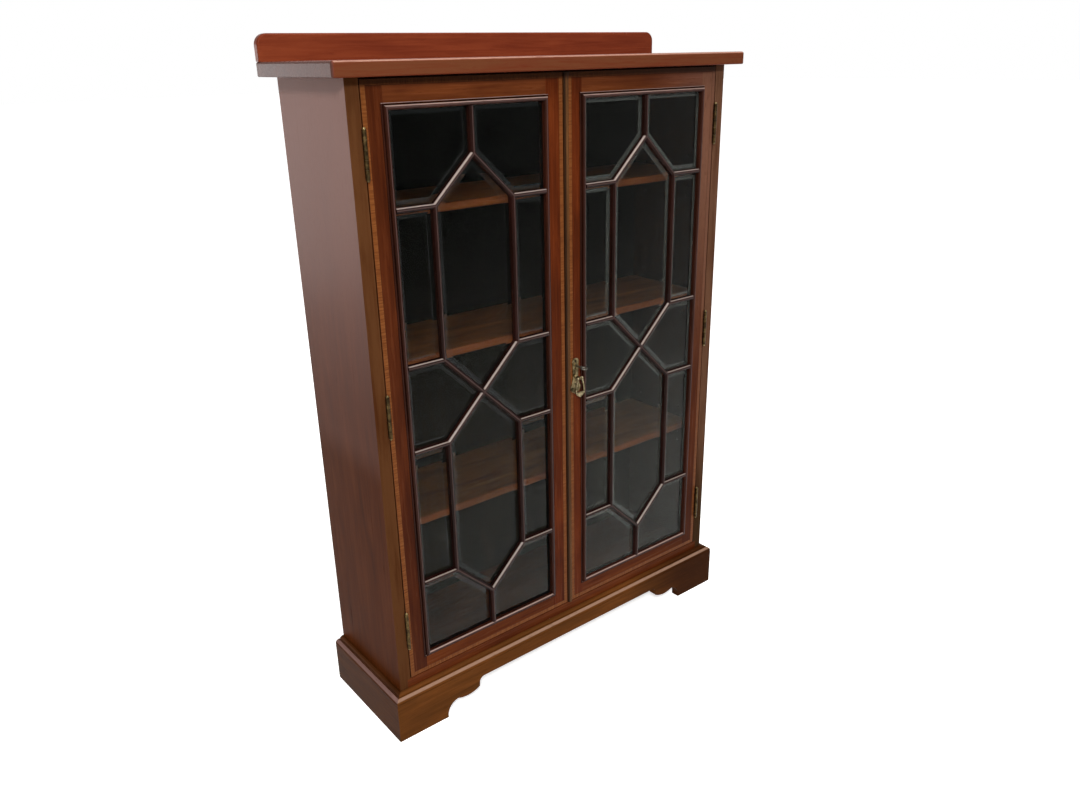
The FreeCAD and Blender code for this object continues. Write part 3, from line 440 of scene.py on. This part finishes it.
def rubShellac(tree, shader, look, tone, marks):
    # the polish: open pores hold dark filler
    filler = addNode(tree, "ShaderNodeMapRange",
                     {"From Min": polish["poreFrom"], "From Max": polish["poreTo"],
                      "To Max": look.get("pores", polish["fillerShare"])}, {"Value": marks["pore"]})
    filled = addNode(tree, "ShaderNodeMix", {"data_type": "RGBA", 7: hexToLinear(look["dark"])},
                     {0: filler.outputs[0], 6: tone})
    tree.links.new(filled.outputs[2], shader.inputs["Base Color"])
    # the rubbed film is glossier on the ridges than over the pores
    gloss = addNode(tree, "ShaderNodeMapRange",
                    {"To Min": look["rough"] - polish["glossier"],
                     "To Max": look["rough"] + polish["duller"]}, {"Value": marks["streak"]})
    tree.links.new(gloss.outputs[0], shader.inputs["Roughness"])
    relief = addNode(tree, "ShaderNodeMath", {"operation": "MULTIPLY_ADD", 1: 0.5},
                     {0: marks["streak"], 2: filler.outputs[0]})
    bump = addNode(tree, "ShaderNodeBump",
                   {"Strength": look["bump"], "Distance": polish["reliefMm"] / 1000.0,
                    "invert": True}, {"Height": relief.outputs[0]})
    tree.links.new(bump.outputs[0], shader.inputs["Normal"])
    shader.inputs["IOR"].default_value = polish["ior"]
    shader.inputs["Specular IOR Level"].default_value = look["mirror"]


def polishedMahogany(kind, axis):
    key = kind + axis
    if key in finishes:
        return finishes[key]
    look = mahogany[kind]
    material, tree, shader = newFinish("frenchPolishedMahogany_" + kind + "_" + axis)
    surface = addNode(tree, "ShaderNodeTexCoord")
    where = surface.outputs["Object"]
    place = addNode(tree, "ShaderNodeSeparateXYZ", {}, {0: where})
    # noise stretched along the grain; a streak is about half a period wide
    marks = {}
    for name, weave in grain.items():
        scale = [500.0 / weave["mm"]] * 3
        scale["XYZ".index(axis)] /= weave["stretch"]
        spread = addNode(tree, "ShaderNodeMapping", {"Scale": tuple(scale)}, {"Vector": where})
        noise = addNode(tree, "ShaderNodeTexNoise",
                        {"Scale": 1.0, "Detail": weave["detail"], "Distortion": weave["distortion"]},
                        {"Vector": spread.outputs[0]})
        marks[name] = noise.outputs[0]
    blend = addNode(tree, "ShaderNodeMix", {"data_type": "FLOAT", 0: polish["streakShare"]},
                    {2: marks["figure"], 3: marks["streak"]})
    tone = addNode(tree, "ShaderNodeValToRGB",
                   {"stops": [(0.32, look["dark"]), (0.50, look["mid"]), (0.70, look["light"])]},
                   {"Fac": blend.outputs[0]}).outputs[0]
    # changes of colour with age, and painted shade, highlights and reflections, along an axis
    for change in ageingAndPaintedLight.get(kind, []):
        tone = axisShiftedTone(tree, place, tone, change)
    # painted highlights on the faces that look towards the light
    if kind in paintedHighlights:
        tone = highlightedTone(tree, surface, place, tone, paintedHighlights[kind])
    if kind == "backs":
        tone = boardedTone(tree, place, tone)
    # painted shade on the faces in the gaps between the doors and the case
    if kind in gapShadeFaces:
        tone = gapShadedTone(tree, place, tone, gapShadeFaces[kind])
    if kind in planedEdges:
        tone = planedTone(tree, place, tone, blend, kind)
    # painted shadow under the overhang of the top
    if kind in overhangShadow["kinds"]:
        tone = axisShiftedTone(tree, place, tone, overhangShadow["paintedShadow"])
    rubShellac(tree, shader, look, tone, marks)
    finishes[key] = material
    return material


# Crossbanding: strips of veneer cut across the grain, let in round each door and bounded inside
# by a thin dark line. Its short grain shows as ticks about 2 mm apart, each up to 26 mm long, and
# the noise that draws them has 0.6 periods in a tick.
banding = {"dark": "#5a2f14", "mid": "#683a1a", "light": "#764522", "ink": "#3a1a0a", "faded": "#634437",
           "tickMm": 2.2, "tickLongMm": 26.0, "tickPeriods": 0.6,
           "widthMm": 11.0, "lineMm": 0.9, "edgeMm": 1.2,
           "fadeXMm": (100.0, 420.0), "fadeZMm": (300.0, 1000.0), "fadeMost": 0.75, "fadeLow": 0.15,
           "edgeShade": 0.8, "rough": 0.3, "mirror": 0.06, "bump": 0.08, "reliefMm": 0.3}


def stripPlace(tree, node, where, place):
    # how far a point lies in from the nearest edge of a door, and how far along it, in metres
    low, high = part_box(node)
    fromMiddle = addNode(tree, "ShaderNodeVectorMath",
                         {"operation": "SUBTRACT", 1: tuple((low + high) / 2)}, {0: where})
    spread = addNode(tree, "ShaderNodeVectorMath", {"operation": "ABSOLUTE"},
                     {0: fromMiddle.outputs[0]})
    inside = addNode(tree, "ShaderNodeVectorMath",
                     {"operation": "SUBTRACT", 0: tuple((high - low) / 2)}, {1: spread.outputs[0]})
    edges = addNode(tree, "ShaderNodeSeparateXYZ", {}, {0: inside.outputs[0]})
    upright = addNode(tree, "ShaderNodeMath", {"operation": "LESS_THAN"},
                      {0: edges.outputs["X"], 1: edges.outputs["Z"]})
    inward = addNode(tree, "ShaderNodeMath", {"operation": "MINIMUM"},
                     {0: edges.outputs["X"], 1: edges.outputs["Z"]})
    along = addNode(tree, "ShaderNodeMix", {"data_type": "FLOAT"},
                    {0: upright.outputs[0], 2: place.outputs["X"], 3: place.outputs["Z"]})
    return inward.outputs[0], along.outputs[0]


def fadedVeneer(tree, place, tone):
    # the veneer has faded towards the right-hand end and the top
    rightward = addNode(tree, "ShaderNodeMapRange",
                        {"From Min": banding["fadeXMm"][0] / 1000.0,
                         "From Max": banding["fadeXMm"][1] / 1000.0,
                         "To Max": banding["fadeMost"]}, {"Value": place.outputs["X"]})
    upward = addNode(tree, "ShaderNodeMapRange",
                     {"From Min": banding["fadeZMm"][0] / 1000.0,
                      "From Max": banding["fadeZMm"][1] / 1000.0,
                      "To Min": banding["fadeLow"]}, {"Value": place.outputs["Z"]})
    fade = addNode(tree, "ShaderNodeMath", {"operation": "MULTIPLY"},
                   {0: rightward.outputs[0], 1: upward.outputs[0]})
    return addNode(tree, "ShaderNodeMix", {"data_type": "RGBA", 7: hexToLinear(banding["faded"])},
                   {0: fade.outputs[0], 6: tone}).outputs[2]


def crossBanding(node):
    material, tree, shader = newFinish("crossBandedVeneer_" + node)
    where = addNode(tree, "ShaderNodeTexCoord").outputs["Object"]
    place = addNode(tree, "ShaderNodeSeparateXYZ", {}, {0: where})
    inward, along = stripPlace(tree, node, where, place)
    # coordinates along and across the strip, in ticks
    flat = addNode(tree, "ShaderNodeCombineXYZ", {}, {0: along, 1: inward})
    ticks = addNode(tree, "ShaderNodeVectorMath",
                    {"operation": "MULTIPLY",
                     1: (1000.0 / banding["tickMm"], 1000.0 / banding["tickLongMm"], 0.0)},
                    {0: flat.outputs[0]})
    grainNoise = addNode(tree, "ShaderNodeTexNoise",
                         {"Scale": banding["tickPeriods"], "Detail": 2.0, "Distortion": 0.2},
                         {"Vector": ticks.outputs[0]})
    tone = addNode(tree, "ShaderNodeValToRGB",
                   {"stops": [(0.34, banding["dark"]), (0.5, banding["mid"]),
                              (0.66, banding["light"])]}, {"Fac": grainNoise.outputs[0]})
    tone = fadedVeneer(tree, place, tone.outputs[0])
    # the thin dark line inside the strips
    lineFrom = (banding["widthMm"] - banding["lineMm"]) / 1000.0
    isLine = addNode(tree, "ShaderNodeMath", {"operation": "GREATER_THAN", 1: lineFrom}, {0: inward})
    lined = addNode(tree, "ShaderNodeMix", {"data_type": "RGBA", 7: hexToLinear(banding["ink"])},
                    {0: isLine.outputs[0], 6: tone})
    # painted shade on the outer edge of the strips beside the gaps, and painted shadow under the top's
    # overhang
    edgeShade = addNode(tree, "ShaderNodeMapRange",
                   {"From Max": banding["edgeMm"] / 1000.0, "To Min": banding["edgeShade"],
                    "To Max": 0.0}, {"Value": inward})
    paintedShadow = overhangShadow["paintedShadow"]
    darker = addNode(tree, "ShaderNodeMath", {"operation": "MAXIMUM"},
                     {0: edgeShade.outputs[0], 1: axisShiftShare(tree, place, paintedShadow)})
    shaded = addNode(tree, "ShaderNodeMix", {"data_type": "RGBA", 7: hexToLinear(paintedShadow["tone"])},
                     {0: darker.outputs[0], 6: lined.outputs[2]})
    tree.links.new(shaded.outputs[2], shader.inputs["Base Color"])
    bump = addNode(tree, "ShaderNodeBump",
                   {"Strength": banding["bump"], "Distance": banding["reliefMm"] / 1000.0},
                   {"Height": grainNoise.outputs[0]})
    tree.links.new(bump.outputs[0], shader.inputs["Normal"])
    shader.inputs["Roughness"].default_value = banding["rough"]
    shader.inputs["IOR"].default_value = polish["ior"]
    shader.inputs["Specular IOR Level"].default_value = banding["mirror"]
    return material


# Glass: old plate, ground and polished, so it is clear with a faint green cast and very slight
# waves about 70 mm long. The bevels are in the panes' own shape, and on them part of the glass is
# made less clear so that its pale tint shows as a painted sheen, more on the right door. It mirrors
# little, because the white surround would otherwise veil the dark inside.
plateGlass = {"tint": "#d0d8ce", "thin": "#d4dbd1", "waveMm": 70.0, "ior": 1.5, "mirror": "#3a3a3a",
              "bevelMirror": "#98a3a8", "bevelFrom": 0.994, "bevelTo": 0.997,
              "paintedSheen": {"left": 0.005, "right": 0.06}}


def bevelledPlateGlass(hand):
    material, tree, shader = newFinish("bevelledPlateGlass_" + hand)
    where = addNode(tree, "ShaderNodeTexCoord").outputs["Object"]
    wave = addNode(tree, "ShaderNodeTexNoise", {"Scale": 1000.0 / plateGlass["waveMm"], "Detail": 0.0},
                   {"Vector": where})
    tone = addNode(tree, "ShaderNodeValToRGB",
                   {"stops": [(0.3, plateGlass["tint"]), (0.7, plateGlass["thin"])]},
                   {"Fac": wave.outputs[0]})
    tree.links.new(tone.outputs[0], shader.inputs["Base Color"])
    shader.inputs["Roughness"].default_value = 0.0
    shader.inputs["IOR"].default_value = plateGlass["ior"]
    # the ground bevels, which lean 7 degrees from the front, keep more of the surround's reflection;
    # bevelFrom and bevelTo are cosines between theirs and 1
    faces = addNode(tree, "ShaderNodeNewGeometry")
    level = addNode(tree, "ShaderNodeVectorMath", {"operation": "ABSOLUTE"},
                    {0: faces.outputs["True Normal"]})
    ahead = addNode(tree, "ShaderNodeSeparateXYZ", {}, {0: level.outputs[0]})
    mirror = addNode(tree, "ShaderNodeValToRGB",
                     {"stops": [(plateGlass["bevelFrom"], plateGlass["bevelMirror"]),
                                (plateGlass["bevelTo"], plateGlass["mirror"])]},
                     {"Fac": ahead.outputs["Y"]})
    tree.links.new(mirror.outputs[0], shader.inputs["Specular Tint"])
    # the bevels let less light through, so their pale tint shows as a painted sheen
    clear = addNode(tree, "ShaderNodeMapRange",
                    {"From Min": plateGlass["bevelFrom"], "From Max": plateGlass["bevelTo"],
                     "To Min": 1.0 - plateGlass["paintedSheen"][hand], "To Max": 1.0},
                    {"Value": ahead.outputs["Y"]})
    tree.links.new(clear.outputs[0], shader.inputs["Transmission Weight"])
    return material


# Brass, cast and filed, then darkened by handling: olive in the hollows, pale where it is rubbed.
# The tarnish lies in patches 3 to 5 mm across, duller than the metal that shows between them. The
# key, the lock's bolt and the door stops' screws are dull steel, and the nails are blacked iron. The
# handle plate's screws are as black, as painted shade for the holes they sit in.
agedBrass = {"bright": "#a89772", "mid": "#6f6245", "dark": "#362e1d", "patchMm": 5.0}
hingeBrass = {"bright": "#6d5a38", "mid": "#4a3c25", "dark": "#2a2115", "patchMm": 5.0}
rubbedBrass = {"bright": "#a08f62", "mid": "#7d6d49", "dark": "#554931", "patchMm": 4.0}
wornBrass = {"bright": "#c8b995", "mid": "#958768", "dark": "#574e3a", "patchMm": 3.0}
blackedIronAndHoleShade = {"bright": "#4a4236", "mid": "#2a241b", "dark": "#15110c", "patchMm": 3.0}
oldSteel = {"bright": "#8d8a80", "mid": "#66635b", "dark": "#3b3934", "patchMm": 5.0}
tarnish = {"dullRough": 0.48, "rubbedRough": 0.26, "bump": 0.15, "reliefMm": 0.3}


def agedMetal(name, look):
    material, tree, shader = newFinish(name)
    where = addNode(tree, "ShaderNodeTexCoord").outputs["Object"]
    patch = addNode(tree, "ShaderNodeTexNoise",
                    {"Scale": 500.0 / look["patchMm"], "Detail": 4.0, "Distortion": 0.5},
                    {"Vector": where})
    tone = addNode(tree, "ShaderNodeValToRGB",
                   {"stops": [(0.34, look["dark"]), (0.5, look["mid"]), (0.68, look["bright"])]},
                   {"Fac": patch.outputs[0]})
    tree.links.new(tone.outputs[0], shader.inputs["Base Color"])
    dull = addNode(tree, "ShaderNodeMapRange",
                   {"To Min": tarnish["dullRough"], "To Max": tarnish["rubbedRough"]},
                   {"Value": patch.outputs[0]})
    tree.links.new(dull.outputs[0], shader.inputs["Roughness"])
    bump = addNode(tree, "ShaderNodeBump",
                   {"Strength": tarnish["bump"], "Distance": tarnish["reliefMm"] / 1000.0},
                   {"Height": patch.outputs[0]})
    tree.links.new(bump.outputs[0], shader.inputs["Normal"])
    shader.inputs["Metallic"].default_value = 1.0
    return material


glassFinishes = {hand: bevelledPlateGlass(hand) for hand in ("left", "right")}
brassFinish = agedMetal("handledCastBrass", agedBrass)
hingeFinish = agedMetal("tarnishedHingeBrass", hingeBrass)
tipFinish = agedMetal("rubbedBrass", rubbedBrass)
dropFinish = agedMetal("wornDropBrass", wornBrass)
screwFinish = agedMetal("blackedIronScrewsAndHoleShade", blackedIronAndHoleShade)
steelFinish = agedMetal("dullSteel", oldSteel)
print("finishes made")

# Which finish each wooden piece takes, and which way its grain runs.
woodPieces = {
    "side_board_left": ("sides", "Z"), "side_board_right": ("sidesRight", "Z"),
    "top_board": ("top", "X"), "gallery": ("gallery", "X"),
    "plinth_front": ("plinth", "X"), "plinth_moulding_front": ("plinth", "X"),
    "plinth_left": ("plinthSides", "Y"), "plinth_moulding_left": ("plinthSides", "Y"),
    "plinth_right": ("plinthSides", "Y"), "plinth_moulding_right": ("plinthSides", "Y"),
    "bottom_board": ("lowRails", "X"), "shelf_upper": ("shelf", "X"), "shelf_middle": ("shelf", "X"),
    "shelf_lower": ("shelf", "X"), "shelf_pegs": ("carcass", "X"),
    "top_rail_front": ("carcass", "X"), "top_rail_back": ("carcass", "X"), "back_boards": ("backs", "Z"),
    "glue_blocks": ("carcass", "X"), "door_stops": ("carcass", "X"), "meeting_bead": ("bead", "Z"),
}
brassPieces = ["handle_plate", "strike_plate", "slip_bolt_guides", "upper_slip_bolt",
               "lower_slip_bolt", "lock_case"]
hingePieces = []
for hand in ("left", "right"):
    woodPieces[hand + "_hinge_stile"] = ("frame" if hand == "left" else "frameRight", "Z")
    woodPieces[hand + "_meeting_stile"] = ("meeting", "Z")
    woodPieces[hand + "_top_rail"] = ("rails", "X")
    woodPieces[hand + "_bottom_rail"] = ("lowRails", "X")
    woodPieces[hand + "_glass_moulding"] = ("mouldings", "Z")
    woodPieces[hand + "_glazing_bars"] = ("bars", "Z")
    woodPieces[hand + "_putty_beads"] = ("bars", "Z")
    hingePieces += [hand + "_hinge_case_leaves", hand + "_hinge_door_leaves"]


def dressPieces():
    for name, thing in nodes.items():
        if name in woodPieces:
            finish = polishedMahogany(*woodPieces[name])
        elif name in brassPieces:
            finish = brassFinish
        elif name in hingePieces:
            finish = hingeFinish
        elif name.endswith("_hinge_pins"):
            finish = tipFinish
        elif name == "drop_handle":
            finish = dropFinish
        elif name.endswith("_panes"):
            finish = glassFinishes[name.split("_")[0]]
        elif name.endswith("_crossbanding"):
            finish = crossBanding(name)
        else:
            finish = steelFinish
        thing.data.materials.clear()
        thing.data.materials.append(finish)


dressPieces()
print("pieces dressed")

# Screws and nails, in millimetres: which body they hold to, the way the heads face, their radius,
# finish and slot, and their places, set in from the ends and faces of the pieces that they hold.
# How long a hinge is, and the three screws of a leaf: how far up from its middle, and how far in
# from its long edge.
hinges = {"long": 89.0, "screws": ((-30.0, 5.5), (0.0, 10.5), (30.0, 5.5))}


def leafSpots(leaves, face):
    # one side's three hinges, of which the outer two lie at the ends of the leaves' box
    lowest, highest = ends(leaves, "Z", hinges["long"] / 2)
    edge = ends(leaves, "Y")[1]
    return [(face, edge - inset, middle + up)
            for middle in (lowest, (lowest + highest) / 2, highest)
            for up, inset in hinges["screws"]]


fixings = {
    "left_case_leaf_screws": {
        "body": "case", "facing": (1, 0, 0), "radius": 3.1, "finish": hingeFinish, "slot": "brass",
        "places": leafSpots("left_hinge_case_leaves", ends("side_board_left", "X")[1])},
    "right_case_leaf_screws": {
        "body": "case", "facing": (-1, 0, 0), "radius": 3.1, "finish": hingeFinish, "slot": "brass",
        "places": leafSpots("right_hinge_case_leaves", ends("side_board_right", "X")[0])},
    "left_door_leaf_screws": {
        "body": "left_door", "facing": (-1, 0, 0), "radius": 3.1, "finish": hingeFinish, "slot": "brass",
        "places": leafSpots("left_hinge_door_leaves", ends("left_hinge_stile", "X")[0])},
    "right_door_leaf_screws": {
        "body": "right_door", "facing": (1, 0, 0), "radius": 3.1, "finish": hingeFinish, "slot": "brass",
        "places": leafSpots("right_hinge_door_leaves", ends("right_hinge_stile", "X")[1])},
    # one above the keyhole and one below the drop, on the plate's front; their black heads are painted
    # shade for the holes they sit in
    "handle_plate_screws": {
        "body": "right_door", "facing": (0, -1, 0), "radius": 2.7, "finish": screwFinish, "slot": "brass",
        "places": [(sum(ends("handle_plate", "X")) / 2, ends("handle_plate", "Y", 2.0)[1], z)
                   for z in (ends("handle_plate", "Z", 7.0)[1], ends("handle_plate", "Z", 9.0)[0])]},
    "lock_case_screws": {
        "body": "right_door", "facing": (0, 1, 0), "radius": 2.7, "finish": brassFinish, "slot": "brass",
        "places": [(x, ends("lock_case", "Y")[1], z)
                   for x in ends("lock_case", "X", 5.0) for z in ends("lock_case", "Z", 4.5)]},
    "slip_bolt_screws": {
        "body": "left_door", "facing": (0, 1, 0), "radius": 2.0, "finish": brassFinish, "slot": "brass",
        "places": [(x, ends("slip_bolt_guides", "Y", 2.0)[0], z)
                   for x in ends("slip_bolt_guides", "X", 2.6)
                   for z in sorted(ends("slip_bolt_guides", "Z", 24.5)
                                   + ends("slip_bolt_guides", "Z", 39.5))]},
    "strike_plate_screws": {
        "body": "left_door", "facing": (1, 0, 0), "radius": 2.1, "finish": brassFinish, "slot": "brass",
        "places": [(ends("strike_plate", "X")[1], sum(ends("strike_plate", "Y")) / 2, z)
                   for z in ends("strike_plate", "Z", 3.6)]},
    "door_stop_screws": {
        "body": "case", "facing": (0, 0, 1), "radius": 3.0, "finish": steelFinish, "slot": "steel",
        "places": [(x, sum(ends("door_stops", "Y")) / 2, ends("door_stops", "Z")[1])
                   for x in sorted(ends("door_stops", "X", 13.0) + ends("door_stops", "X", 57.0))]},
    # two nails side by side in each board, near its foot and near its top
    "back_board_nails": {
        "body": "case", "facing": (0, 1, 0), "radius": 2.6, "finish": screwFinish, "slot": "steel",
        "places": [(boardsFrom + boardWidth * (i + share), ends("back_boards", "Y")[1], z)
                   for i in range(boards["count"])
                   for share in (0.25, 0.75) for z in ends("back_boards", "Z", 11.0)]},
}
# a head's height, and as shares of that and of its radius: the disc under it, its flat top and its
# slot; and how far the slot turns, in radians, for a millimetre along X and Z
heads = {"highMm": 0.35, "discShare": 0.2, "topShare": 0.86, "slotShare": 0.16, "segments": 20,
         "turnX": 0.3, "turnZ": 0.7}


def addHeads(name, look):
    # flat heads; a screw's is two halves with a slot between them, on a thin disc
    mesh = bmesh.new()
    turn = Vector(look["facing"]).to_track_quat("Z", "X").to_matrix().to_4x4()
    radius = look["radius"] / 1000.0
    topRadius = heads["topShare"] * radius
    high = heads["highMm"] / 1000.0
    disc = high * heads["discShare"]
    slotHalf = 0.0 if name.endswith("nails") else radius * heads["slotShare"]
    startAngle = math.asin(slotHalf / radius)
    count = heads["segments"] // 2
    rim = [startAngle + (math.pi - 2 * startAngle) * i / count for i in range(count + 1)]
    for spot in look["places"]:
        seat = Matrix.Translation(Vector(spot) / 1000.0) @ turn
        # every slot was left where the driver stopped
        stopped = spot[2] * heads["turnZ"] + spot[0] * heads["turnX"]
        seat = seat @ Matrix.Rotation(stopped, 4, "Z")
        middle = seat @ Matrix.Translation((0, 0, disc / 2))
        bmesh.ops.create_cone(mesh, cap_ends=True, segments=heads["segments"], radius1=radius,
                              radius2=radius, depth=disc, matrix=middle)
        for way in (1.0, -1.0):
            lower = [mesh.verts.new(seat @ Vector((radius * math.cos(a),
                                                   way * radius * math.sin(a), disc)))
                     for a in rim]
            upper = [mesh.verts.new(seat @ Vector((topRadius * math.cos(a),
                                                   way * max(slotHalf, topRadius * math.sin(a)), high)))
                     for a in rim]
            mesh.faces.new(upper)
            for i in range(count + 1):
                j = (i + 1) % (count + 1)
                mesh.faces.new((lower[i], lower[j], upper[j], upper[i]))
    bmesh.ops.recalc_face_normals(mesh, faces=mesh.faces)
    data = bpy.data.meshes.new(name)
    mesh.to_mesh(data)
    mesh.free()
    data.materials.append(look["finish"])
    thing = bpy.data.objects.new(name, data)
    bpy.context.scene.collection.objects.link(thing)
    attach(thing, look["body"])


for name, look in fixings.items():
    addHeads(name, look)
print("screws and nails driven")
